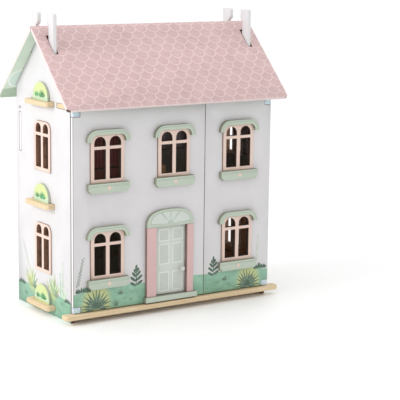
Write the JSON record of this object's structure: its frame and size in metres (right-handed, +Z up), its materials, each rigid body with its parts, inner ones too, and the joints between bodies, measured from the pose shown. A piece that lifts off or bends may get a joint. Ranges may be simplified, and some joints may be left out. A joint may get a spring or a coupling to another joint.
{
  "type": "wooden dollhouse",
  "caption": "Two-storey wooden dollhouse with a pitched lift-off roof, arched windows and a front that opens on hinged panels.",
  "frame": {"origin": "on the table under the ridge, midway between the side walls", "axes": "+X to the right across the front, +Y from the front to the back, +Z up"},
  "size_m": [0.664, 0.3826, 0.766],
  "materials": {
    "white_board": "satin white paint on fibreboard",
    "plywood": "satin, unpainted",
    "stair_wood": "satin, unpainted",
    "roof_print": "satin printed board",
    "peach_board": "satin paint",
    "sage_board": "satin paint",
    "door_board": "satin printed board",
    "pink_board": "satin paint",
    "key_print": "satin printed board",
    "pivot_plastic": "translucent, smooth",
    "steel": "plated"
  },
  "bodies": {
    "house_body": {"left_side_wall": "white_board", "right_side_wall": "white_board", "back_wall": "white_board", "base_board": "plywood", "middle_floor": "plywood", "attic_floor": "plywood", "lower_staircase": "stair_wood", "upper_staircase": "stair_wood", "left_lower_window_frame": "peach_board", "left_upper_window_frame": "peach_board", "right_lower_window_frame": "peach_board", "right_upper_window_frame": "peach_board", "left_base_key": "key_print", "left_middle_key": "key_print", "left_attic_key": "key_print", "right_base_key": "key_print", "right_middle_key": "key_print", "right_attic_key": "key_print", "left_back_screw": "steel", "right_back_screw": "steel"},
    "left_front": {"left_front_panel": "white_board", "lower_left_window_frame": "peach_board", "lower_left_window_hood": "sage_board", "lower_left_window_sill": "sage_board", "upper_left_window_frame": "peach_board", "upper_left_window_hood": "sage_board", "upper_left_window_sill": "sage_board", "upper_middle_window_frame": "peach_board", "upper_middle_window_hood": "sage_board", "upper_middle_window_sill": "sage_board", "fanlight": "sage_board", "left_pilaster": "pink_board", "right_pilaster": "pink_board", "door_step": "sage_board", "left_lower_pivot_block": "pivot_plastic", "left_upper_pivot_block": "pivot_plastic"},
    "right_front": {"right_front_panel": "white_board", "lower_right_window_frame": "peach_board", "lower_right_window_hood": "sage_board", "lower_right_window_sill": "sage_board", "upper_right_window_frame": "peach_board", "upper_right_window_hood": "sage_board", "upper_right_window_sill": "sage_board", "right_lower_pivot_block": "pivot_plastic", "right_upper_pivot_block": "pivot_plastic"},
    "front_door": {"front_door": "door_board", "door_knob": "door_board", "lower_door_pin": "steel", "upper_door_pin": "steel"},
    "front_roof": {"front_roof_panel": "roof_print"},
    "rear_roof": {"rear_roof_panel": "roof_print"}
  },
  "joints": [
    {"name": "left_front_hinge", "type": "hinge", "parent": "house_body", "child": "left_front", "pos_m": [-0.296, -0.153, 0.281], "axis": [0, 0, -1], "range_deg": [0, 165]},
    {"name": "right_front_hinge", "type": "hinge", "parent": "house_body", "child": "right_front", "pos_m": [0.296, -0.153, 0.281], "axis": [0, 0, 1], "range_deg": [0, 165]},
    {"name": "front_door_hinge", "type": "hinge", "parent": "left_front", "child": "front_door", "pos_m": [-0.0565, -0.1525, 0.1345], "axis": [0, 0, -1], "range_deg": [0, 90]},
    {"name": "front_roof_lift", "type": "slide", "parent": "house_body", "child": "front_roof", "axis": [0, 0, 1], "range_m": [0, 0.12]},
    {"name": "rear_roof_lift", "type": "slide", "parent": "house_body", "child": "rear_roof", "axis": [0, 0, 1], "range_m": [0, 0.12]}
  ]
}
